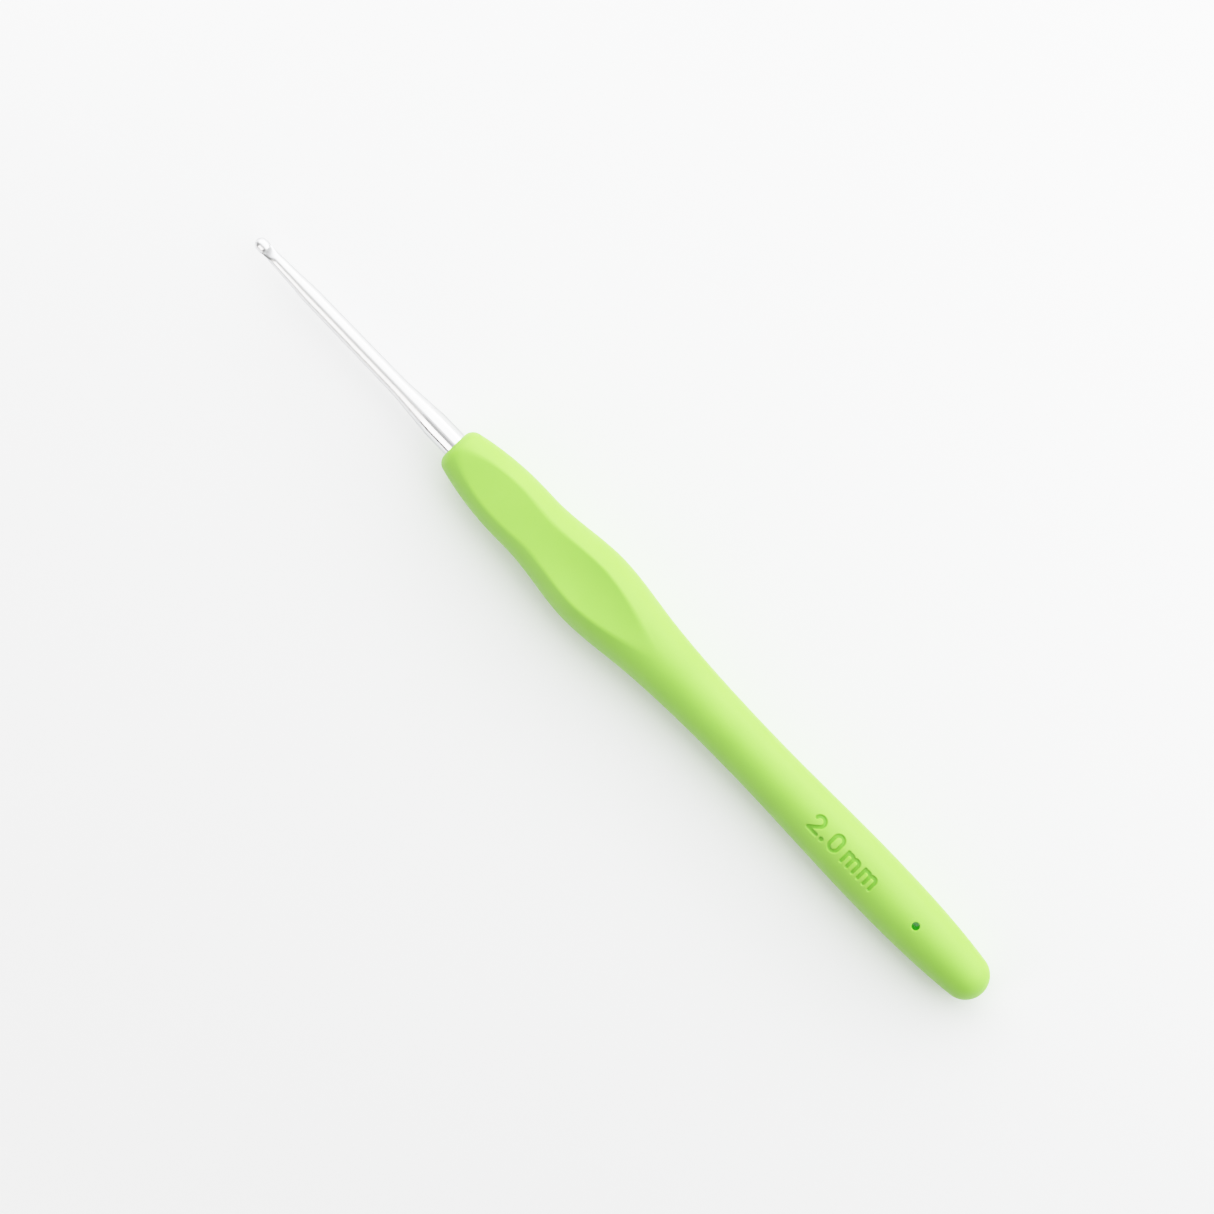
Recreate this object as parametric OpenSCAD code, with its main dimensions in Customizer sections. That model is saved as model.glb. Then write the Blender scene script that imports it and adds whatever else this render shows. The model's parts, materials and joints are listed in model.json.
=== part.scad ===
// Crochet hook with a soft moulded grip.
// The long axis is X, with the hook's tip at -X and the tail of the grip at +X. The throat of the hook and the
// upper thumb rest face +Z, and the part lies on the rims of its lower thumb rest.

/* [Hook head] */
// Diameter of the head, the size that the hook is sold by
head_d = 2.0; // [1.6:0.1:2.4]
// Length of the head, from its tip to the edge of the lip
head_length = 2.1; // [1.8:0.1:2.6]
// Depth of the throat below the top of the head
throat_depth = 1.12; // [0.8:0.02:1.3]
// Radius at the bottom of the throat
throat_round = 0.3; // [0.2:0.05:0.4]
// Angle by which the lip leans back over the throat
lip_angle = 24; // [5:1:35]
// Slope of the throat's floor, up to the top of the neck
ramp_angle = 32; // [20:1:38]

/* [Shank] */
// Length over which the head narrows to the neck, half of it on each side of the lip
head_taper = 1.2; // [0.6:0.1:1.6]
// Diameter of the neck behind the head
neck_d = 1.76; // [1.6:0.02:1.9]
// Length of the neck
neck_length = 5.6; // [4:0.1:8]
// Diameter of the neck where its shoulder begins
neck_rear_d = 2.24; // [2:0.02:2.4]
// Length of the shoulder between the neck and the shaft
shoulder_length = 2.3; // [1:0.1:4]
// Diameter of the shaft at its front
shaft_d = 2.6; // [2.4:0.05:2.7]
// Length of the shaft
shaft_length = 18.9; // [12:0.1:26]
// Diameter of the shaft at its rear
shaft_rear_d = 2.8; // [2.7:0.05:3.2]
// Length of the flare between the shaft and the butt
flare_length = 6.3; // [4:0.1:10]
// Diameter at the rear of the flare, a small step below the butt
flare_d = 3.74; // [3.3:0.02:3.8]
// Diameter of the butt and of the tang inside the handle
butt_d = 3.88; // [3.82:0.02:4]
// Length of the butt between the flare and the grip
butt_length = 5.1; // [3:0.1:10]

/* [Tang] */
// Length of the tang inside the handle
tang_length = 22; // [20:1:46]
// Length of the pressed flats that key the tang's end
key_length = 7; // [5:0.5:9]
// Thickness of the tang across its flats
key_thickness = 2.9; // [2.4:0.1:3.4]
// Distance from the flats to the groove that holds the tang
groove_gap = 5; // [4:0.5:7]
// Width of that groove
groove_width = 2; // [1:0.1:3]
// Diameter of the tang at the bottom of that groove
groove_d = 3.1; // [2.6:0.1:3.5]
// Chamfer at the tang's end
tang_chamfer = 0.4; // [0.2:0.05:0.6]

/* [Handle core] */
// Diameter of the core
core_d = 5.4; // [5:0.1:5.8]
// Soft material in front of the core
core_front_cover = 2; // [1.5:0.1:4]
// Soft material behind the core
core_tail_cover = 5.5; // [4:0.1:8]
// Chamfer at the core's front edge
core_chamfer = 0.5; // [0.2:0.05:0.6]
// Number of grooves that lock the soft material
lock_count = 4; // [2:1:6]
// Width of a lock groove
lock_width = 1.8; // [1:0.1:3]
// Depth of a lock groove
lock_depth = 0.45; // [0.2:0.05:0.8]
// Distance from the grip's nose to the first lock groove
lock_front = 48; // [46:0.5:52]
// Distance from one lock groove to the next
lock_pitch = 10; // [6:0.5:11]

/* [Grip] */
// Length of the grip
grip_length = 109.1; // [106:0.1:120]
// Width of the nose, before its edge is rounded
nose_w = 6.6; // [6:0.1:7.4]
// Radius of the nose's edge
nose_round = 1.25; // [0.6:0.05:1.25]
// Widening of the nose behind its face, in mm for each mm
nose_slope = 0.28; // [0.1:0.01:0.35]
// Distance from the nose to the front bulge
front_at = 13; // [11:0.1:14]
// Width of the front bulge
front_w = 10.12; // [9.4:0.02:11]
// Distance from the nose to the waist
waist_at = 16; // [15:0.1:19]
// Width of the waist
waist_w = 10.06; // [9.2:0.02:10.8]
// Distance from the nose to the thumb bulge
thumb_at = 28.6; // [26:0.1:32]
// Width of the thumb bulge
thumb_w = 12.3; // [11.2:0.1:13.4]
// Distance from the nose to the shoulder behind the thumb bulge
shoulder_at = 41; // [38:0.1:46]
// Width of that shoulder
shoulder_w = 9.84; // [9.4:0.02:10.4]
// Narrowing of that shoulder, in mm for each mm of one side
shoulder_slope = 0.09; // [0.05:0.01:0.12]
// Distance from the nose to the slimmest place
slim_at = 62.5; // [56:0.5:68]
// Width of the slimmest place
slim_w = 8.24; // [7.6:0.02:8.8]
// Distance from the tail bulge to the end of the tail
tail_from_end = 23; // [19:0.5:27]
// Width of the tail bulge
tail_w = 9.04; // [8.4:0.02:9.8]
// Radius of the round end of the tail
tail_round = 3.55; // [3:0.05:4]
// Angle at which the sides of the tail run into its round end
tail_taper = 7; // [3:0.5:10]

/* [Thumb rests] */
// Thickness between the two thumb rests at the front bulge
pad_front_thickness = 7.5; // [7:0.1:8.2]
// Thickness between the two thumb rests at their rear
pad_rear_thickness = 10.06; // [9:0.02:10.6]
// Distance from the nose to where the rests start to rise
pad_rise_at = 6; // [4:0.5:9]
// Length over which the rests rise
pad_rise_length = 30; // [24:0.5:34]
// Radius of the hollow across a rest
pad_hollow_radius = 24; // [14:1:60]

/* [Cord hole] */
// Diameter of the hole for a hanging cord
cord_hole_d = 1.2; // [0.8:0.1:1.8]
// Distance from the hole to the end of the tail
cord_hole_from_end = 13.7; // [11:0.1:18]
// Wall of the soft lining between the hole and the core
cord_lining = 0.6; // [0.4:0.05:0.8]

/* [Fit] */
// Gap between pieces that are moulded round one another
mould_gap = 0.02; // [0.01:0.01:0.05]

/* [Hidden] */

// Fineness of round faces and of the curves in the outlines
round_facets = 96;
arc_steps = 8;
curve_steps = 7;
// How far a cut runs past the surface that it opens
cut_past = 2;

// Places along the shank, from the tip
neck_start = head_length + head_taper / 2;
neck_end = neck_start + neck_length;
shaft_start = neck_end + shoulder_length;
shaft_end = shaft_start + shaft_length;
butt_start = shaft_end + flare_length;
nose_from_tip = butt_start + butt_length;
tang_end = nose_from_tip + tang_length;
key_start = tang_end - key_length;
groove_end = key_start - groove_gap;
groove_start = groove_end - groove_width;

// Places in the part's own frame
overall_length = nose_from_tip + grip_length;
tip_x = -overall_length / 2;
nose_x = tip_x + nose_from_tip;
cord_hole_x = nose_x + grip_length - cord_hole_from_end;

// A line from one value to another, and the smooth step between them
function mix(from, to, share) = from + (to - from) * share;
function ease(share) = share <= 0 ? 0 : share >= 1 ? 1 : share * share * (3 - 2 * share);

// The grip's half width: stations of distance from the nose, half width and slope, joined by cubic curves.
// The last station is where the round end of the tail takes over.
tail_centre = grip_length - tail_round;
stations = [
    [0, nose_w / 2, nose_slope],
    [front_at, front_w / 2, 0],
    [waist_at, waist_w / 2, 0],
    [thumb_at, thumb_w / 2, 0],
    [shoulder_at, shoulder_w / 2, -shoulder_slope],
    [slim_at, slim_w / 2, 0],
    [grip_length - tail_from_end, tail_w / 2, 0],
    [tail_centre + tail_round * sin(tail_taper), tail_round * cos(tail_taper), -tan(tail_taper)]
];

function cubic(from, to, share) =
    let (span = to[0] - from[0], rise = ease(share))
    mix(from[1], to[1], rise)
    + from[2] * span * share * (1 - share) ^ 2
    - to[2] * span * share ^ 2 * (1 - share);

function curve_point(index, share) =
    [cubic(stations[index], stations[index + 1], share), mix(stations[index][0], stations[index + 1][0], share)];

// The nose's edge is an arc that starts on the nose's flat face
function nose_point(angle) =
    let (along = nose_round * (1 - cos(angle)))
    [cubic(stations[0], stations[1], along / front_at) - nose_round * (1 - sin(angle)), along];

function tail_point(angle) = [tail_round * cos(angle), tail_centre + tail_round * sin(angle)];

// Outline of the grip as [half width, distance from the nose]
grip_edge = concat(
    [for (k = [0 : arc_steps - 1]) nose_point(90 * k / arc_steps)],
    [for (i = [0 : len(stations) - 2], k = [0 : curve_steps - 1])
        let (place = curve_point(i, k / curve_steps))
        if (place[1] >= nose_round) place],
    [for (k = [0 : arc_steps]) tail_point(mix(tail_taper, 90, k / arc_steps))]
);

// A thumb rest is the underside of a long barrel that lies along the grip, above it or below it
pad_axis = pad_hollow_radius + pad_front_thickness / 2;
pad_end = pad_rise_at + pad_rise_length;

function pad_height(along) =
    mix(pad_front_thickness, pad_rear_thickness, ease((along - pad_rise_at) / pad_rise_length)) / 2;

function pad_radius(along) = pad_axis - pad_height(along);

// Height of the grip's rim beside a rest, or of the grip itself where no rest cuts it
function rim_height(place) =
    min(place[0], (place[0] ^ 2 + pad_axis ^ 2 - pad_radius(place[1]) ^ 2) / (2 * pad_axis));

// The part stands on the lowest points of the lower rim
axis_height = max([for (place = grip_edge) rim_height(place)]);

// Turns an outline of [radius, distance] about a line along X
module turned(start_x, height, outline) {
    translate([start_x, 0, height])
        rotate([0, 90, 0])
            rotate_extrude($fn = round_facets)
                polygon(outline);
}

// A round pin or hole through the grip, from below to above
module upright(radius) {
    translate([cord_hole_x, 0, -cut_past])
        cylinder(r = radius, h = 2 * axis_height + 2 * cut_past, $fn = round_facets);
}

// Outline of the butt and tang, grown all over by a gap where another piece is moulded round it
function tang_edge(grow) = [
    [butt_d / 2 + grow, butt_start],
    [butt_d / 2 + grow, groove_start + grow],
    [groove_d / 2 + grow, groove_start + grow],
    [groove_d / 2 + grow, groove_end - grow],
    [butt_d / 2 + grow, groove_end - grow],
    [butt_d / 2 + grow, tang_end - tang_chamfer],
    [butt_d / 2 - tang_chamfer + grow, tang_end + grow],
    [0, tang_end + grow]
];

// The two pressed flats at the end of the tang
module key_flats(grow) {
    for (side = [0, 180])
        translate([tip_x, 0, axis_height])
            rotate([side, 0, 0])
                translate([key_start + grow, -butt_d, key_thickness / 2 + grow])
                    cube([key_length + cut_past, 2 * butt_d, butt_d]);
}

module tang(grow) {
    difference() {
        turned(tip_x, axis_height, concat([[0, butt_start]], tang_edge(grow)));
        key_flats(grow);
    }
}

// Side view of the throat: down the leaning lip, round the bottom and up the ramp
lip_run = (throat_depth - throat_round * (1 + sin(lip_angle))) / cos(lip_angle);
throat_centre = [
    head_length - lip_run * sin(lip_angle) + throat_round * cos(lip_angle),
    head_d / 2 - throat_depth + throat_round
];
throat_top = head_d / 2 + cut_past;
ramp_foot = throat_centre + throat_round * [sin(ramp_angle), -cos(ramp_angle)];
throat_edge = concat(
    [[head_length + cut_past * tan(lip_angle), throat_top]],
    [for (k = [0 : arc_steps])
        let (angle = mix(180 - lip_angle, 270 + ramp_angle, k / arc_steps))
        throat_centre + throat_round * [cos(angle), sin(angle)]],
    [[ramp_foot[0] + (throat_top - ramp_foot[1]) / tan(ramp_angle), throat_top]]
);

module throat() {
    translate([tip_x, 0, axis_height])
        rotate([90, 0, 0])
            linear_extrude(height = 2 * head_d, center = true)
                polygon(throat_edge);
}

// Outline of the whole shank as [radius, distance from the tip]
shank_edge = concat(
    [for (k = [0 : arc_steps])
        let (angle = 90 * k / arc_steps)
        [head_d / 2 * sin(angle), head_d / 2 * (1 - cos(angle))]],
    [
        [head_d / 2, head_length - head_taper / 2],
        [neck_d / 2, neck_start],
        [neck_rear_d / 2, neck_end],
        [shaft_d / 2, shaft_start],
        [shaft_rear_d / 2, shaft_end],
        [flare_d / 2, butt_start]
    ],
    tang_edge(0)
);

module hook_shank() {
    color("#d9dadb")
        difference() {
            turned(tip_x, axis_height, shank_edge);
            throat();
            key_flats(0);
        }
}

// Outline of the core, grown by a gap for the hollow that it leaves in the grip
core_end = grip_length - core_tail_cover;
core_round_at = core_end - core_d / 2;

function core_edge(grow) = concat(
    [
        [0, core_front_cover - grow],
        [core_d / 2 - core_chamfer + grow, core_front_cover - grow],
        [core_d / 2 + grow, core_front_cover + core_chamfer]
    ],
    [for (i = [0 : lock_count - 1], corner = [[0, 0], [1, 0], [1, 1], [0, 1]])
        [
            core_d / 2 + grow - corner[0] * lock_depth,
            lock_front + i * lock_pitch + mix(grow, lock_width - grow, corner[1])
        ]],
    [for (k = [0 : arc_steps])
        let (angle = 90 * k / arc_steps)
        [(core_d / 2 + grow) * cos(angle), core_round_at + (core_d / 2 + grow) * sin(angle)]]
);

// The soft lining of the cord hole passes through the core's eye
module core_body(grow) {
    difference() {
        turned(nose_x, axis_height, core_edge(grow));
        upright(cord_hole_d / 2 + cord_lining - grow);
    }
}

module handle_core() {
    color("#a9cf6b")
        difference() {
            core_body(0);
            tang(mould_gap);
        }
}

pad_edge = concat(
    [[0, -cut_past], [pad_radius(0), -cut_past]],
    [for (k = [0 : 2 * curve_steps])
        let (along = mix(pad_rise_at, pad_end, k / (2 * curve_steps)))
        [pad_radius(along), along]],
    [[pad_radius(pad_end), slim_at], [0, slim_at]]
);

module thumb_rests() {
    for (side = [1, -1])
        turned(nose_x, axis_height + side * pad_axis, pad_edge);
}

module soft_grip() {
    color("#b4e073")
        difference() {
            turned(nose_x, axis_height, concat([[0, 0]], grip_edge));
            thumb_rests();
            core_body(mould_gap);
            tang(mould_gap);
            upright(cord_hole_d / 2);
        }
}

hook_shank();
handle_core();
soft_grip();
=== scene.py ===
import json
import math

import bmesh
import bpy
import numpy as np
from mathutils import Matrix, Vector
from mathutils.kdtree import KDTree


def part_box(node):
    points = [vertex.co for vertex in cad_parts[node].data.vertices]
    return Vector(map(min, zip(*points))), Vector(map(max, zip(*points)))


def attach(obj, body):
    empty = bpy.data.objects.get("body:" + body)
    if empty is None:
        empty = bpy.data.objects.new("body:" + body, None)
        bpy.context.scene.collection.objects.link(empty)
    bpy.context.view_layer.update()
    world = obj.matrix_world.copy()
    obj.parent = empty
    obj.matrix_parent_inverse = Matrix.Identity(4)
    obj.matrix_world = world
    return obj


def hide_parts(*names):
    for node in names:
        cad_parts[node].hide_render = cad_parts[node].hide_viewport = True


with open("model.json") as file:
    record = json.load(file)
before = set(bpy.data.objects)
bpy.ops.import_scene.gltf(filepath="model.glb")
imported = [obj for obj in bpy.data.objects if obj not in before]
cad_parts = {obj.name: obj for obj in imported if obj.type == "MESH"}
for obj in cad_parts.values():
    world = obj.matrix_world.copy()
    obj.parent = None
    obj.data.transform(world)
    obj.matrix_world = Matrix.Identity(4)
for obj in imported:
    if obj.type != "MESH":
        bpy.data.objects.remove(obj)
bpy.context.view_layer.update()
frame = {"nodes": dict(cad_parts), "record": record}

# Shapes are worked out in millimetres and made in metres
MM = 0.001

# Places taken from the frame
shank_low, shank_high = [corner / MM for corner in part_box("hook_shank")]
core_low, core_high = [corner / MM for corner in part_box("handle_core")]
grip_low, grip_high = [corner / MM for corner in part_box("soft_grip")]
cord_mount = next(m for m in frame["record"]["mounts"] if m["name"] == "cord_hole")
tip_x = shank_low.x
nose_x = grip_low.x
axis_z = (grip_low.z + grip_high.z) / 2
grip_length = grip_high.x - nose_x
butt_radius = shank_high.y
core_radius = core_high.y
hole_radius = cord_mount["dims"]["r_mm"]
hole_at = cord_mount["pos_m"][0] / MM - nose_x

# Keeps divisions and comparisons clear of rounding errors
TINY = 1e-9

# Grip: stations of distance from the nose, half width and slope, and the rounds at both ends
nose_round = 1.25
tail_round = 3.55
tail_taper = math.radians(7)
tail_centre = grip_length - tail_round
bulge_from_tail = 23
STATIONS = np.array([
    [0, 3.3, 0.28],
    [13, 5.06, 0],
    [16, 5.03, 0],
    [28.6, 6.15, 0],
    [41, 4.92, -0.09],
    [62.5, 4.12, 0],
    [grip_length - bulge_from_tail, 4.52, 0],
    [
        tail_centre + tail_round * math.sin(tail_taper),
        tail_round * math.cos(tail_taper),
        -math.tan(tail_taper),
    ],
])

# Thumb rests: half thickness at the front and rear, and the line that their hollow turns about
rest_front = 3.75
rest_rear = 5.03
rest_rise_at = 6
rest_rise_length = 30
rest_round = 24
rest_axis = rest_round + rest_front
rest_hollow_from = 14
rest_hollow_to = 27
rests_end = 46
rim_softness = 0.22

# Size mark on the tail: a plain number, sunk into the grip
mark_from_tail = 34.75
mark_base = -1.21
mark_height = 2.52
mark_stroke = 0.52
mark_wall = 0.16
mark_depth = 0.3
mark_margin = 0.5
m_bow = 0.575

# Hollow inside the grip: it clears the core and the butt by a small gap
gap = 0.02
bore_start = 0.05
bore_radius = butt_radius + gap
core_start = core_low.x - nose_x - gap
core_end = core_high.x - nose_x + gap
core_chamfer = 0.5
hollow_radius = core_radius + gap

# Cord hole: its soft rim and the wall of its sleeve inside the hollow
hole_rim = 0.12
sleeve_wall = 0.6

# Mesh of the grip: steps between its rings in each stretch
rest_step = 0.36
plain_step = 1
mark_step = 0.09
tail_step = 0.8
hole_step = 0.1
sleeve_step = 0.2

# Reach of the fine rings to each side of the hole, and of the block of cells that is cut out there
hole_stretch = 1.4
hole_block = 1.3
sleeve_stretch = 1.7
sleeve_block = 1.6
sleeve_lead = 6
block_slack = 0.01

# Directions round the grip: the upper and lower sides, on past the rims of the rests, and the flanks
fine_turn = math.radians(24)
fine_step = math.radians(0.9)
rims_turn = math.radians(56)
rims_step = math.radians(1.25)
flank_step = math.radians(5)


def ease(share):
    share = np.clip(share, 0, 1)
    return share * share * (3 - 2 * share)


def mix(start, end, share):
    return start + (end - start) * share


def soft_min(a, b, softness):
    """The smaller of two values, with the corner between them rounded off."""
    return np.minimum(a, b) - np.maximum(softness - np.abs(a - b), 0) ** 2 / (4 * softness)


def half_width(along):
    """Half width of the grip at a distance from its nose."""
    index = np.clip(np.searchsorted(STATIONS[:, 0], along, "right") - 1, 0, len(STATIONS) - 2)
    start, start_half, start_slope = np.moveaxis(STATIONS[index], -1, 0)
    end, end_half, end_slope = np.moveaxis(STATIONS[index + 1], -1, 0)
    span = end - start
    share = (along - start) / span
    return (
        mix(start_half, end_half, ease(share))
        + start_slope * span * share * (1 - share) ** 2
        - end_slope * span * share**2 * (1 - share)
    )


def rest_reach(along, turn):
    """Distance from the grip's axis to a thumb rest, in a direction turned from straight up."""
    out_of_reach = 1e3
    height = mix(rest_front, rest_rear, ease((along - rest_rise_at) / rest_rise_length))
    width = half_width(along)
    rim = (width**2 + rest_axis**2 - (rest_axis - height) ** 2) / (2 * rest_axis)
    hollow = ease((along - rest_hollow_from) / (rest_hollow_to - rest_hollow_from)) / (rest_axis - height)
    floor = rim - hollow * (width**2 - rim**2) / 2
    up = np.abs(np.cos(turn))
    across = np.sin(turn) ** 2
    root = up**2 - 2 * hollow * floor * across
    reach = 2 * floor / (up + np.sqrt(np.maximum(root, 0)) + TINY)
    return np.where(root > 0, reach, out_of_reach)


def line_distance(points, start, end):
    start, end = np.array(start), np.array(end)
    run = end - start
    share = np.clip((points - start) @ run / max(run @ run, TINY), 0, 1)
    return np.linalg.norm(points - start - share[..., None] * run, axis=-1)


def arc_distance(points, centre, radius, first, last):
    """Distance to an arc that runs anticlockwise from the first to the last angle, in degrees."""
    away = points - np.array(centre)
    angle = np.degrees(np.arctan2(away[..., 1], away[..., 0]))
    ends = [
        np.array(centre) + radius * np.array([math.cos(math.radians(a)), math.sin(math.radians(a))])
        for a in (first, last)
    ]
    to_ends = np.min([np.linalg.norm(points - end, axis=-1) for end in ends], axis=0)
    on_arc = (angle - first) % 360 <= last - first
    return np.where(on_arc, np.abs(np.linalg.norm(away, axis=-1) - radius), to_ends)


def two_distance(points):
    radius = 0.78
    middle = 0.8
    bow_start = 165
    foot = 1.67
    centre = (middle, mark_height - radius)
    # The slanted stroke leaves the bow along its tangent and ends at the foot
    reach = math.hypot(*centre)
    slant = math.degrees(math.atan2(centre[1], centre[0]) - math.asin(radius / reach))
    run = math.sqrt(reach**2 - radius**2)
    joint = (run * math.cos(math.radians(slant)), run * math.sin(math.radians(slant)))
    return np.min([
        arc_distance(points, centre, radius, slant - 90, bow_start),
        line_distance(points, joint, (0, 0)),
        line_distance(points, (0, 0), (foot, 0)),
    ], axis=0)


def dot_distance(points):
    """A round dot, a little wider than a stroke."""
    swell = 0.07
    return np.linalg.norm(points - np.array([0, swell]), axis=-1) - swell


def nought_distance(points):
    radius = 0.755
    top = mark_height - radius
    return np.min([
        arc_distance(points, (radius, radius), radius, 180, 360),
        arc_distance(points, (radius, top), radius, 0, 180),
        line_distance(points, (0, radius), (0, top)),
        line_distance(points, (2 * radius, radius), (2 * radius, top)),
    ], axis=0)


def m_distance(points):
    height = 1.72
    legs = [line_distance(points, (2 * m_bow * k, 0), (2 * m_bow * k, height - m_bow)) for k in range(3)]
    stem = line_distance(points, (0, 0), (0, height))
    bows = [arc_distance(points, (m_bow * k, height - m_bow), m_bow, 0, 180) for k in (1, 3)]
    return np.min([stem, *legs, *bows], axis=0)


# Each sign of the mark and its distance from the first one
MARK = [
    (two_distance, 0),
    (dot_distance, 2.66),
    (nought_distance, 3.88),
    (m_distance, 6.87),
    (m_distance, 10.25),
]
mark_length = MARK[-1][1] + 4 * m_bow


def mark_share(along, across):
    """How far a point of the grip's upper side is sunk into the mark, from 0 to 1."""
    points = np.stack([along - (grip_length - mark_from_tail), across - mark_base], axis=-1)
    nearest = np.min([sign(points - np.array([place, 0])) for sign, place in MARK], axis=0)
    return ease((mark_stroke / 2 + mark_wall / 2 - nearest) / mark_wall)


def spread(start, end, step):
    """Places from start up to, but not at, end."""
    count = max(1, round((end - start) / step))
    return np.linspace(start, end, count, endpoint=False)


def new_piece(name, bm, material, node):
    """Makes the object of a mesh that stands for a CAD node."""
    bmesh.ops.recalc_face_normals(bm, faces=bm.faces)
    for face in bm.faces:
        face.smooth = True
    mesh = bpy.data.meshes.new(name)
    bm.to_mesh(mesh)
    bm.free()
    mesh.materials.append(material)
    piece = bpy.data.objects.new(name, mesh)
    bpy.context.scene.collection.objects.link(piece)
    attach(piece, "root")
    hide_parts(node)
    return piece


def grip_place(along, across, up):
    return Vector(((nose_x + along) * MM, across * MM, (axis_z + up) * MM))


def ring_place(along, out, turn):
    """A point at a distance from the grip's axis, in a direction turned from straight up."""
    return grip_place(along, out * math.sin(turn), out * math.cos(turn))


def open_hole(bm, grid, rows, columns, radius, rim, surface):
    """Opens a round hole from the top to the bottom of a ring grid, and lines it with a wall.

    rows and columns give the block of cells that the hole takes up on each side. surface gives the
    height of the grid's upper side, and rim is the radius of the hole's rounded edge.
    """
    ring_count = 6
    rim_count = 4
    first, last = rows
    walls = []
    for side, shown in ((1, columns[0]), (-1, columns[1])):
        block = [[grid[row][column] for column in shown] for row in range(first, last + 1)]
        loop = block[0][:-1] + [line[-1] for line in block[:-1]]
        loop += block[-1][:0:-1] + [line[0] for line in block[:0:-1]]
        inside = [vertex for line in block[1:-1] for vertex in line[1:-1]]
        bmesh.ops.delete(bm, geom=inside, context="VERTS")
        spots = np.array([[v.co.x / MM - nose_x - hole_at, v.co.y / MM] for v in loop])
        far = np.linalg.norm(spots, axis=1)
        toward = spots / far[:, None]
        shares = np.linspace(0, 1, ring_count + 1)[1:]
        bends = np.linspace(0, math.pi / 2, rim_count + 1)[1:]
        rings = [(mix(far, radius + rim, share), 0) for share in shares]
        rings += [
            (np.full(len(far), radius + rim * (1 - math.sin(bend))), rim * (1 - math.cos(bend)))
            for bend in bends
            if rim
        ]
        for away, sunk in rings:
            places = toward * away[:, None]
            heights = surface(hole_at + places[:, 0], places[:, 1]) - sunk
            ring = [
                bm.verts.new(grip_place(hole_at + x, y, side * z))
                for (x, y), z in zip(places, heights)
            ]
            join_loops(bm, loop, ring)
            loop = ring
        walls.append(loop)
    return join_loops(bm, *walls)


def join_loops(bm, first, second):
    return [
        bm.faces.new((first[k - 1], first[k], second[k], second[k - 1]))
        for k in range(len(first))
    ]


def ring_turns():
    """Directions round the grip from its top, closest on the upper and lower sides and at the rims."""
    quarter = np.concatenate([
        spread(0, fine_turn, fine_step),
        spread(fine_turn, rims_turn, rims_step),
        spread(rims_turn, math.pi / 2, flank_step),
    ])
    half_turn = np.concatenate([quarter, [math.pi / 2], math.pi - quarter[:0:-1]])
    return np.concatenate([half_turn, half_turn + math.pi])


def skin_outline():
    """Places along the grip and its radius there, closest at the mark and at the cord hole."""
    nose_count = 10
    tail_count = 16
    mark_start = grip_length - mark_from_tail - mark_margin
    mark_end = mark_start + mark_length + 2 * mark_margin
    bends = np.linspace(0, math.pi / 2, nose_count + 1)
    nose_along = nose_round * (1 - np.cos(bends))
    nose_radius = half_width(nose_along) - nose_round * (1 - np.sin(bends))
    body_along = np.concatenate([
        spread(nose_round, rests_end, rest_step)[1:],
        spread(rests_end, mark_start, plain_step),
        spread(mark_start, mark_end, mark_step),
        spread(mark_end, hole_at - hole_stretch, tail_step),
        spread(hole_at - hole_stretch, hole_at + hole_stretch, hole_step),
        spread(hole_at + hole_stretch, STATIONS[-1, 0], tail_step),
    ])
    tail_bends = np.linspace(tail_taper, math.pi / 2, tail_count, endpoint=False)
    along = np.concatenate([nose_along, body_along, tail_centre + tail_round * np.sin(tail_bends)])
    radius = np.concatenate([nose_radius, half_width(body_along), tail_round * np.cos(tail_bends)])
    return along, radius


def hollow_outline():
    """The hollow as [place, radius], from its bore for the butt to its round end behind the core."""
    end_count = 8
    plain_end = hole_at - sleeve_lead
    hollow = [
        (bore_start, bore_radius),
        (core_start, bore_radius),
        (core_start, hollow_radius - core_chamfer),
        (core_start + core_chamfer, hollow_radius),
        (plain_end, hollow_radius),
    ]
    sleeve_along = spread(hole_at - sleeve_stretch, hole_at + sleeve_stretch, sleeve_step)
    hollow += [(place, hollow_radius) for place in sleeve_along]
    hollow += [
        (core_end - hollow_radius * (1 - math.sin(bend)), hollow_radius * math.cos(bend))
        for bend in np.linspace(0, math.pi / 2, end_count, endpoint=False)
    ]
    return hollow


def cut_cord_hole(bm, turns, skin, along, lining, hollow):
    """Opens the cord hole through the skin and its sleeve through the hollow. Returns the hole's wall."""

    def block_columns(limit):
        """Columns at the top and at the bottom, each from the -Y side to the +Y side."""
        inside = np.abs(np.sin(turns)) <= limit
        from_bottom = np.argsort((turns + math.pi) % (2 * math.pi))
        top = [k for k in from_bottom if inside[k] and math.cos(turns[k]) > 0]
        low = [k for k in np.argsort(-turns) if inside[k] and math.cos(turns[k]) < 0]
        return top, low

    def block_rows(places, limit):
        inside = [k for k, place in enumerate(places) if abs(place - hole_at) <= limit]
        return inside[0], inside[-1]

    skin_half = float(half_width(np.array([hole_at]))[0])
    wall = open_hole(
        bm,
        skin,
        block_rows(along, hole_block + block_slack),
        block_columns(hole_block / skin_half),
        hole_radius,
        hole_rim,
        lambda place, side: np.sqrt(half_width(place) ** 2 - side**2),
    )
    open_hole(
        bm,
        lining,
        block_rows([place for place, _ in hollow], sleeve_block + block_slack),
        block_columns(sleeve_block / hollow_radius),
        hole_radius + sleeve_wall,
        0,
        lambda place, side: np.sqrt(hollow_radius**2 - side**2),
    )
    return wall


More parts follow.
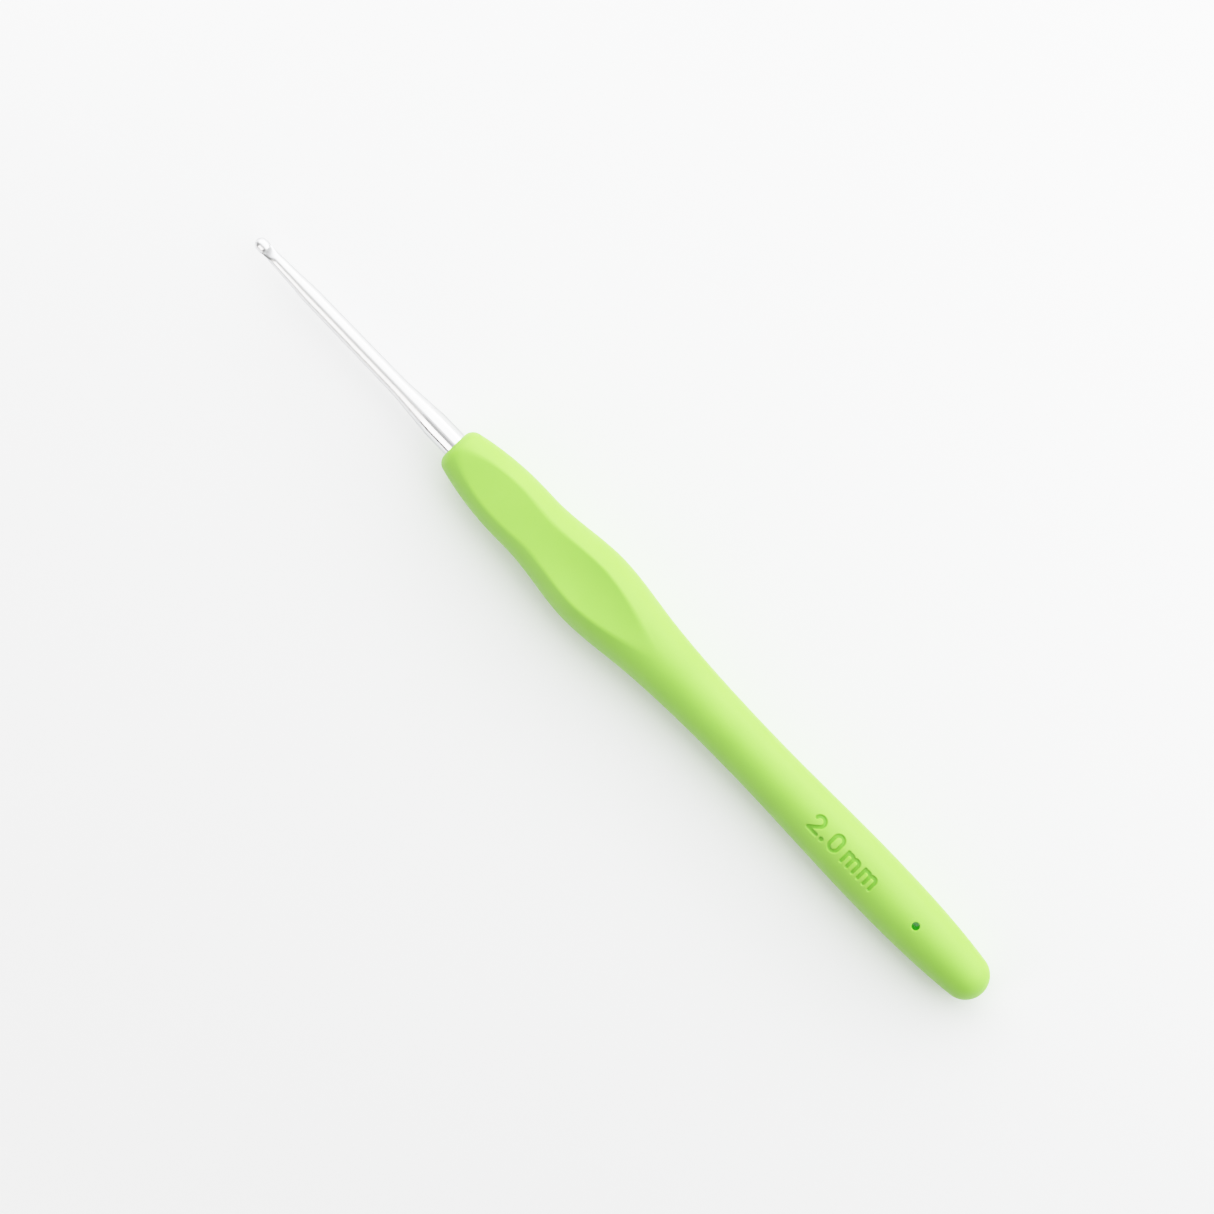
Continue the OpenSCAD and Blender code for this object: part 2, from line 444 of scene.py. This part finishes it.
def build_grip(material, wall_material):
    bm = bmesh.new()
    # The sunk share of each vertex also drives the painted shade in the mark's recess
    sunk = bm.verts.layers.float.new("sunk")
    turns = ring_turns()
    along, radius = skin_outline()
    reach = soft_min(radius[:, None], rest_reach(along[:, None], turns), rim_softness)
    reach[along < nose_round] = radius[along < nose_round, None]

    # The mark is sunk into the upper side
    across = reach * np.sin(turns)
    upper = np.cos(turns) > math.cos(fine_turn) - TINY
    share = np.where(upper, mark_share(np.broadcast_to(along[:, None], across.shape), across), 0)
    reach = reach - mark_depth * share

    skin = []
    for row, place in enumerate(along):
        ring = []
        for column, turn in enumerate(turns):
            vertex = bm.verts.new(ring_place(place, reach[row, column], turn))
            vertex[sunk] = share[row, column]
            ring.append(vertex)
        skin.append(ring)
    hollow = hollow_outline()
    lining = [[bm.verts.new(ring_place(place, out, turn)) for turn in turns] for place, out in hollow]

    for rings in (skin, lining):
        for first, second in zip(rings, rings[1:]):
            join_loops(bm, first, second)
    join_loops(bm, skin[0], lining[0])
    for ring, end in ((skin[-1], grip_length), (lining[-1], core_end)):
        pole = bm.verts.new(grip_place(end, 0, 0))
        for k in range(len(ring)):
            bm.faces.new((ring[k - 1], ring[k], pole))

    # The hole's wall takes the second material, with its painted glow
    for face in cut_cord_hole(bm, turns, skin, along, lining, hollow):
        face.material_index = 1
    grip = new_piece("grip", bm, material, "soft_grip")
    grip.data.materials.append(wall_material)


# Shank: lengths from the tip backwards, and radii
head_radius = 1.0
head_length = 2.1
head_taper = 1.2
neck_length = 5.6
shoulder_length = 2.3
shaft_length = 18.9
flare_length = 6.3
flare_radius = 1.87
step_length = 0.9
neck_start = head_length + head_taper / 2
neck_end = neck_start + neck_length
shaft_start = neck_end + shoulder_length
shaft_end = shaft_start + shaft_length
butt_start = shaft_end + flare_length
tang_end = shank_high.x - tip_x
OUTLINE = np.array([
    [head_length - head_taper / 2, head_radius],
    [neck_start, 0.88],
    [neck_end, 1.12],
    [shaft_start, 1.3],
    [shaft_end, 1.4],
    [butt_start, flare_radius],
])

# Throat: the lip leans back over it, and a ramp leads out of it
throat_depth = 1.12
throat_round = 0.3
lip_lean = math.radians(24)
ramp_slope = math.radians(32)
throat_crown = 0.09
edge_round = 0.35
edge_passes = 60

# Tang inside the handle
key_length = 7
key_half = 1.45
groove_length = 2
groove_from_key = 5
key_start = tang_end - key_length
groove_end = key_start - groove_from_key
groove_start = groove_end - groove_length
groove_radius = 1.55
tang_chamfer = 0.4


def shank_radius(place):
    """Radius of the shank in front of its butt, with the corners of its outline eased."""
    easing_run = 3
    most_easing = 0.9
    sample_count = 9
    place = np.asarray(place, float)
    easing = np.clip((place - head_length) / easing_run, 0, most_easing)
    shares = np.linspace(-1, 1, sample_count)
    nearby = [np.interp(place + easing * share, *OUTLINE.T) for share in shares]
    ball = np.sqrt(np.maximum(head_radius**2 - (place - head_radius) ** 2, 0))
    return np.where(place < head_radius, ball, np.mean(nearby, axis=0))


def throat_sides(count):
    """Side view of the throat as two lists of [place, height], each from the top to the lowest point."""
    bow_count = 60
    flat_count = 400
    lip_reach = 2
    ramp_reach = 4
    lip_run = (throat_depth - throat_round * (1 + math.sin(lip_lean))) / math.cos(lip_lean)
    centre = np.array([
        head_length - lip_run * math.sin(lip_lean) + throat_round * math.cos(lip_lean),
        head_radius - throat_depth + throat_round,
    ])

    def side(first_angle, direction, length):
        bends = np.radians(np.linspace(first_angle, 270, bow_count))
        bow = centre + throat_round * np.stack([np.cos(bends), np.sin(bends)], axis=1)
        flat = bow[0] + np.linspace(length, 0, flat_count)[:-1, None] * direction
        path = np.concatenate([flat, bow])
        path = path[path[:, 1] < shank_radius(path[:, 0])]
        gone = np.concatenate([[0], np.cumsum(np.linalg.norm(np.diff(path, axis=0), axis=1))])
        wanted = gone[-1] * (1 - np.cos(np.linspace(0, math.pi, count + 1))) / 2
        return np.stack([np.interp(wanted, gone, path[:, k]) for k in (0, 1)], axis=1)

    lip_way = np.array([math.sin(lip_lean), math.cos(lip_lean)])
    ramp_way = np.array([math.cos(ramp_slope), math.sin(ramp_slope)])
    lip = side(180 - math.degrees(lip_lean), lip_way, lip_reach)
    ramp = side(270 + math.degrees(ramp_slope), ramp_way, ramp_reach)
    return lip, ramp


def shank_place(place, across, up):
    return Vector(((tip_x + place) * MM, across * MM, (axis_z + up) * MM))


def round_edge(bm, edge):
    """Polishes the edge of the throat round, by evening out the vertices near it."""
    reach = edge_round * MM
    tree = KDTree(len(edge))
    for k, vertex in enumerate(edge):
        tree.insert(vertex.co, k)
    tree.balance()
    near = []
    for vertex in bm.verts:
        distance = tree.find(vertex.co)[2]
        if distance < reach:
            near.append((vertex, 1 - ease(distance / reach)))
    for _ in range(edge_passes):
        middles = []
        for vertex, _ in near:
            around = [link.other_vert(vertex).co for link in vertex.link_edges]
            middles.append(sum(around, Vector()) / len(around))
        for (vertex, share), middle in zip(near, middles):
            vertex.co = vertex.co.lerp(middle, share / 2)


def body_outline():
    """The rings behind the neck as [place, radius]: shaft, flare, the small step, butt and tang."""
    shaft_step = 0.35
    step_count = 12
    after_step = 0.3
    before_groove = 0.05
    body = [(place, shank_radius(place)) for place in spread(neck_end, butt_start, shaft_step)[1:]]
    body += [
        (butt_start + step_length * share, mix(flare_radius, butt_radius, ease(share)))
        for share in np.linspace(0, 1, step_count + 1)[1:]
    ]
    butt_along = (butt_start + step_length + after_step, groove_start - before_groove, groove_start)
    body += [(place, butt_radius) for place in butt_along]
    body += [(place, groove_radius) for place in (groove_start, groove_end)]
    body += [(place, butt_radius) for place in (groove_end, key_start, tang_end - tang_chamfer)]
    body += [(tang_end, butt_radius - tang_chamfer)]
    return body


def build_shank(material):
    bm = bmesh.new()
    cut_count = 28
    half_count = 52
    head_rings = 39
    neck_rings = 36
    neck_crowding = 1.6
    chord_count = 20
    lip, ramp = throat_sides(cut_count)

    def column_turns(side):
        """Angles from the top, first along the edge of the throat and then evenly round the underside."""
        edge = np.arccos(np.clip(side[:, 1] / shank_radius(side[:, 0]), -1, 1))
        edge[0] = 0
        return np.concatenate([edge, np.linspace(edge[-1], math.pi, half_count - cut_count + 1)[1:]])

    def edge_places(side):
        return np.concatenate([side[:, 0], np.full(half_count - cut_count, side[-1, 0])])

    def ring(places, turns, radii):
        """A loop of vertices: down one side from the top, and up the other."""
        x = np.broadcast_to(places, turns.shape)
        out = np.broadcast_to(radii, turns.shape)
        down = list(zip(x, out * np.sin(turns), out * np.cos(turns)))
        back = [(place, -across, up) for place, across, up in down[-2:0:-1]]
        return [bm.verts.new(shank_place(*spot)) for spot in down + back]

    # The head, from its pole to the edge of the lip
    lip_turns, lip_edge = column_turns(lip), edge_places(lip)
    shares = (1 - np.cos(np.linspace(0, math.pi, head_rings + 1)[1:])) / 2
    head = [ring(lip_edge * share, lip_turns, shank_radius(lip_edge * share)) for share in shares]
    pole = bm.verts.new(shank_place(0, 0, 0))
    for k in range(len(head[0])):
        bm.faces.new((head[0][k - 1], head[0][k], pole))
    for first, second in zip(head, head[1:]):
        join_loops(bm, first, second)

    # The neck, from the edge of the ramp, where the columns spread out evenly
    ramp_turns, ramp_edge = column_turns(ramp), edge_places(ramp)
    even = np.linspace(0, math.pi, half_count + 1)
    neck = []
    for share in np.linspace(0, 1, neck_rings) ** neck_crowding:
        places = mix(ramp_edge, neck_end, share)
        neck.append(ring(places, mix(ramp_turns, even, ease(share)), shank_radius(places)))
    for first, second in zip(neck, neck[1:]):
        join_loops(bm, first, second)

    # Below the throat the head and the neck share their edge
    loop_count = 2 * half_count
    under = range(cut_count, loop_count - cut_count + 1)
    for k in under:
        bmesh.ops.pointmerge(bm, verts=[head[-1][k], neck[0][k]], merge_co=head[-1][k].co)
    bm.verts.ensure_lookup_table()

    # The lip's face, the throat and the ramp, as chords across the cut
    def chord(edge, k, place, height):
        if k == 0:
            return [edge[0]]
        right, left = edge[k], edge[loop_count - k]
        reach = right.co.y / MM
        shares = np.cos(np.linspace(0, math.pi, chord_count + 1)[1:-1])
        crown = throat_crown * reach * (1 - shares**2)
        spots = [shank_place(place, reach * y, height + z) for y, z in zip(shares, crown)]
        return [right, *[bm.verts.new(spot) for spot in spots], left]

    def strip(chords):
        for upper, lower in zip(chords, chords[1:]):
            end = len(upper) - 1
            for k in range(len(lower) - 1):
                corners = [lower[k], lower[k + 1], upper[min(k + 1, end)], upper[min(k, end)]]
                bm.faces.new(list(dict.fromkeys(corners)))

    lip_chords = [chord(head[-1], k, *lip[k]) for k in range(cut_count)]
    ramp_chords = [chord(neck[0], k, *ramp[k]) for k in range(cut_count)]
    shared = head[-1] if head[-1][cut_count].is_valid else neck[0]
    lowest = chord(shared, cut_count, *lip[-1])
    strip(lip_chords + [lowest])
    strip(ramp_chords + [lowest])
    near_cut = range(-cut_count, cut_count + 1)
    round_edge(bm, [loop[k] for loop in (head[-1], neck[0]) for k in near_cut if loop[k].is_valid])

    # The rest of the shank in plain rings
    rings = [neck[-1]]
    for place, radius in body_outline():
        rings.append(ring(place, even, radius))
    for first, second in zip(rings, rings[1:]):
        join_loops(bm, first, second)
    bm.faces.new(rings[-1])

    # The pressed flats that key the tang's end
    low, high = (axis_z - key_half) * MM, (axis_z + key_half) * MM
    for loop in rings[-2:]:
        for vertex in loop:
            vertex.co.z = min(max(vertex.co.z, low), high)
    new_piece("shank", bm, material, "hook_shank")


# Materials
def new_material(name):
    material = bpy.data.materials.new(name)
    material.use_nodes = True
    tree = material.node_tree
    shader = tree.nodes["Principled BSDF"]
    coordinates = tree.nodes.new("ShaderNodeTexCoord")
    return material, tree, shader, coordinates.outputs["Object"]


def add_noise(tree, vector, feature_mm, detail=3.0, stretch=(1, 1, 1)):
    """Noise whose features are about that many millimetres wide, divided by the stretch along each axis."""
    mapping = tree.nodes.new("ShaderNodeMapping")
    mapping.inputs["Scale"].default_value = stretch
    noise = tree.nodes.new("ShaderNodeTexNoise")
    noise.inputs["Scale"].default_value = 1 / (feature_mm * MM)
    noise.inputs["Detail"].default_value = detail
    tree.links.new(vector, mapping.inputs["Vector"])
    tree.links.new(mapping.outputs["Vector"], noise.inputs["Vector"])
    return noise.outputs["Fac"]


def add_range(tree, value, low, high, from_low=0.3, from_high=0.7):
    node = tree.nodes.new("ShaderNodeMapRange")
    node.inputs["From Min"].default_value = from_low
    node.inputs["From Max"].default_value = from_high
    node.inputs["To Min"].default_value = low
    node.inputs["To Max"].default_value = high
    tree.links.new(value, node.inputs["Value"])
    return node.outputs["Result"]


def add_mix(tree, share, first, second):
    """A colour between two, each a colour or another node's output."""
    node = tree.nodes.new("ShaderNodeMix")
    node.data_type = "RGBA"
    tree.links.new(share, node.inputs["Factor"])
    for name, colour in (("A", first), ("B", second)):
        socket = next(s for s in node.inputs if s.name == name and s.type == "RGBA")
        if isinstance(colour, tuple):
            socket.default_value = (*colour, 1)
        else:
            tree.links.new(colour, socket)
    return next(s for s in node.outputs if s.type == "RGBA")


def add_bump(tree, shader, height, strength, distance_mm):
    bump = tree.nodes.new("ShaderNodeBump")
    bump.inputs["Strength"].default_value = strength
    bump.inputs["Distance"].default_value = distance_mm * MM
    tree.links.new(height, bump.inputs["Height"])
    tree.links.new(bump.outputs["Normal"], shader.inputs["Normal"])


def soft_rubber():
    material, tree, shader, coordinates = new_material("soft_rubber")
    cloud = add_range(tree, add_noise(tree, coordinates, 9), 0, 1)
    grain = add_noise(tree, coordinates, 0.22, 2)
    skin = add_mix(tree, cloud, (0.244, 0.552, 0.054), (0.258, 0.574, 0.061))
    speckle = add_range(tree, grain, 0, 0.10)
    skin = add_mix(tree, speckle, skin, (0.214, 0.516, 0.044))
    # Painted shade: the sunk mark is painted a deeper, darker green, standing in for the shade that falls
    # in its recess
    attribute = tree.nodes.new("ShaderNodeAttribute")
    attribute.attribute_name = "sunk"
    sunk = add_range(tree, attribute.outputs["Fac"], 0, 0.85, 0, 1)
    skin = add_mix(tree, sunk, skin, (0.13, 0.43, 0.006))
    tree.links.new(skin, shader.inputs["Base Color"])
    tree.links.new(add_range(tree, grain, 0.50, 0.58), shader.inputs["Roughness"])
    shader.inputs["Specular IOR Level"].default_value = 0.48
    shader.inputs["Subsurface Weight"].default_value = 0.25
    shader.inputs["Subsurface Radius"].default_value = (0.8, 1.0, 0.4)
    shader.inputs["Subsurface Scale"].default_value = 1.5 * MM
    add_bump(tree, shader, grain, 0.12, 0.03)
    return material


def hole_rubber_painted_glow():
    """The same rubber in the cord hole, painted a deeper green and given a painted glow, which stand in for
    the light that seeps through the rubber deep in the hole.
    """
    material, tree, shader, coordinates = new_material("hole_rubber_painted_glow")
    cloud = add_range(tree, add_noise(tree, coordinates, 1), 0, 1)
    skin = add_mix(tree, cloud, (0.15, 0.50, 0.012), (0.18, 0.54, 0.018))
    tree.links.new(skin, shader.inputs["Base Color"])
    tree.links.new(add_range(tree, cloud, 0.5, 0.6), shader.inputs["Roughness"])
    # Painted glow: the wall glows green, though it is no lamp
    shader.inputs["Emission Color"].default_value = (0.012, 0.2, 0.002, 1)
    shader.inputs["Emission Strength"].default_value = 0.9
    return material


def polished_aluminium():
    polish_length = 1.5
    material, tree, shader, coordinates = new_material("polished_aluminium")
    cloud = add_range(tree, add_noise(tree, coordinates, 3), 0, 1)
    colour = add_mix(tree, cloud, (0.82, 0.825, 0.83), (0.86, 0.86, 0.865))
    tree.links.new(colour, shader.inputs["Base Color"])
    shader.inputs["Metallic"].default_value = 1
    shader.inputs["Specular Tint"].default_value = (0.42, 0.42, 0.44, 1)
    lines = add_noise(tree, coordinates, 1, 2, (14, 0.6, 0.6))
    # The butt is polished brighter than the shaft and the head
    place = tree.nodes.new("ShaderNodeSeparateXYZ")
    tree.links.new(coordinates, place.inputs["Vector"])
    butt_x = tip_x + butt_start
    satin = add_range(tree, place.outputs["X"], 0.15, 0, (butt_x - polish_length) * MM, butt_x * MM)
    roughness = tree.nodes.new("ShaderNodeMath")
    roughness.operation = "ADD"
    tree.links.new(satin, roughness.inputs[0])
    tree.links.new(add_range(tree, lines, 0.14, 0.22), roughness.inputs[1])
    tree.links.new(roughness.outputs["Value"], shader.inputs["Roughness"])
    add_bump(tree, shader, lines, 0.05, 0.01)
    return material


def core_plastic():
    material, tree, shader, coordinates = new_material("core_plastic")
    cloud = add_range(tree, add_noise(tree, coordinates, 4), 0, 1)
    colour = add_mix(tree, cloud, (0.38, 0.60, 0.14), (0.42, 0.64, 0.17))
    tree.links.new(colour, shader.inputs["Base Color"])
    tree.links.new(add_range(tree, cloud, 0.42, 0.5), shader.inputs["Roughness"])
    return material


def pale_floor():
    material, tree, shader, coordinates = new_material("pale_floor")
    cloud = add_range(tree, add_noise(tree, coordinates, 60), 0, 1)
    colour = add_mix(tree, cloud, (0.925, 0.928, 0.932), (0.935, 0.938, 0.942))
    tree.links.new(colour, shader.inputs["Base Color"])
    shader.inputs["Roughness"].default_value = 0.8
    shader.inputs["Specular IOR Level"].default_value = 0.2
    shader.inputs["Emission Color"].default_value = (1, 1, 1, 1)
    shader.inputs["Emission Strength"].default_value = 0.06
    return material


# Pieces
build_shank(polished_aluminium())
build_grip(soft_rubber(), hole_rubber_painted_glow())
core = frame["nodes"]["handle_core"]
core.data.materials.clear()
core.data.materials.append(core_plastic())

# The floor leans a little, so that it meets both the rims of the lower rest and the tail's bulge
rims_from_nose = 33
floor_clearance = 0.03
floor_size = 3.0
rims_x = nose_x + rims_from_nose
tail_bulge_x = grip_high.x - bulge_from_tail
tail_gap = axis_z - STATIONS[-2, 1] - floor_clearance
floor_lean = math.atan2(tail_gap, tail_bulge_x - rims_x)
corners = [(x * floor_size, y * floor_size, 0) for x, y in ((-1, -1), (1, -1), (1, 1), (-1, 1))]
floor_mesh = bpy.data.meshes.new("floor")
floor_mesh.from_pydata(corners, [], [(0, 1, 2, 3)])
floor_mesh.materials.append(pale_floor())
floor = bpy.data.objects.new("floor", floor_mesh)
floor.location = (rims_x * MM, 0, 0)
floor.rotation_euler = (0, -floor_lean, 0)
bpy.context.scene.collection.objects.link(floor)

# Studio light, dim on the -Y side and bright on the +Y side, as [place from side to side, brightness]
SKY = [
    (-1.0, 0.08),
    (-0.58, 0.08),
    (-0.5, 0.4),
    (-0.42, 0.75),
    (-0.15, 0.75),
    (-0.03, 1.6),
    (0.2, 1.8),
    (0.4, 1.7),
    (0.85, 1.8),
    (1.0, 3.2),
]
end_glow = 1.15
world = bpy.data.worlds.new("studio")
world.use_nodes = True
bpy.context.scene.world = world
sky = world.node_tree
direction = sky.nodes.new("ShaderNodeTexCoord").outputs["Generated"]
flat = sky.nodes.new("ShaderNodeVectorMath")
flat.operation = "MULTIPLY"
flat.inputs[1].default_value = (0, 1, 1)
level = sky.nodes.new("ShaderNodeVectorMath")
level.operation = "NORMALIZE"
parts = sky.nodes.new("ShaderNodeSeparateXYZ")
ramp = sky.nodes.new("ShaderNodeValToRGB")
while len(ramp.color_ramp.elements) < len(SKY):
    ramp.color_ramp.elements.new(0.5)
for element, (side, brightness) in zip(ramp.color_ramp.elements, SKY):
    element.position = (side + 1) / 2
    element.color = (brightness, brightness, brightness, 1)
sky.links.new(direction, flat.inputs[0])
sky.links.new(flat.outputs["Vector"], level.inputs[0])
sky.links.new(level.outputs["Vector"], parts.inputs["Vector"])
sky.links.new(add_range(sky, parts.outputs["Y"], 0, 1, -1, 1), ramp.inputs["Fac"])
sky.links.new(ramp.outputs["Color"], sky.nodes["Background"].inputs["Color"])

# Towards both ends of the hook the sky is brighter
ends = sky.nodes.new("ShaderNodeSeparateXYZ")
square = sky.nodes.new("ShaderNodeMath")
square.operation = "MULTIPLY"
sky.links.new(direction, ends.inputs["Vector"])
sky.links.new(ends.outputs["X"], square.inputs[0])
sky.links.new(ends.outputs["X"], square.inputs[1])
glow_share = add_range(sky, square.outputs["Value"], 1, end_glow, 0, 1)
sky.links.new(glow_share, sky.nodes["Background"].inputs["Strength"])


def add_panel(name, aim_x, toward, far, width, height, glow, colour):
    """A soft panel of light that faces a place on the hook's axis from some way off."""
    panel_data = bpy.data.lights.new(name, "AREA")
    panel_data.shape = "RECTANGLE"
    panel_data.size = width
    panel_data.size_y = height
    panel_data.energy = glow * math.pi * width * height
    panel_data.color = colour
    panel = bpy.data.objects.new(name, panel_data)
    outward = Vector(toward).normalized()
    panel.location = Vector((aim_x * MM, 0, 0)) + outward * far
    panel.rotation_euler = outward.to_track_quat("Z", "Y").to_euler()
    bpy.context.scene.collection.objects.link(panel)


# A large panel and a low one on the +Y side
add_panel(
    "key_panel",
    aim_x=0,
    toward=(0, 0.707, 0.707),
    far=0.16,
    width=0.56,
    height=0.218,
    glow=2.7,
    colour=(0.98, 1, 1),
)
add_panel(
    "side_panel",
    aim_x=25,
    toward=(0, 0.95, 0.31),
    far=0.24,
    width=0.5,
    height=0.1,
    glow=2.2,
    colour=(1, 1, 1),
)

# Two panels that the shank mirrors: a warm one on its -Y side and a small one before its tip
add_panel(
    "card_panel",
    aim_x=tip_x - 12,
    toward=(0, -0.777, 0.629),
    far=0.34,
    width=0.15,
    height=0.28,
    glow=4.8,
    colour=(1, 0.965, 0.94),
)
add_panel(
    "tip_panel",
    aim_x=tip_x,
    toward=(-0.84, 0.26, 0.47),
    far=0.1,
    width=0.087,
    height=0.08,
    glow=2.2,
    colour=(0.97, 0.985, 1),
)

# Camera: straight above, tipped a little to the +Y side, with the hook lying from upper left to lower right
camera_tip = math.radians(4)
camera_roll = math.radians(46.08)
camera_far = 1.6
view_width = 0.1741
picture_centre = (-2.23, -0.40)
camera_target = Vector((*picture_centre, axis_z)) * MM
back = Vector((0, math.sin(camera_tip), math.cos(camera_tip)))
along_hook = Vector((1, 0, 0))
across_hook = back.cross(along_hook)
right = along_hook * math.cos(camera_roll) + across_hook * math.sin(camera_roll)
up = back.cross(right)
camera_data = bpy.data.cameras.new("camera")
camera_data.sensor_width = 36
camera_data.lens = camera_data.sensor_width * camera_far / view_width
camera_data.clip_start = 0.01
camera = bpy.data.objects.new("camera", camera_data)
placing = Matrix((right, up, back)).transposed().to_4x4()
placing.translation = camera_target + back * camera_far
camera.matrix_world = placing
bpy.context.scene.collection.objects.link(camera)
bpy.context.scene.camera = camera

# Picture: each tone becomes 1 - exp(-tone), which rolls off softly, so that the pale floor doesn't burn out
brightest = 7
TONES = (0.1, 0.2, 0.35, 0.5, 0.75, 1, 1.4, 1.9, 2.5, 3.3, 4.5)
picture = bpy.context.scene.view_settings
picture.view_transform = "Standard"
picture.use_curve_mapping = True
mapping = picture.curve_mapping
mapping.white_level = (brightest, brightest, brightest)
for tone in TONES:
    mapping.curves[3].points.new(tone / brightest, 1 - math.exp(-tone))
mapping.update()
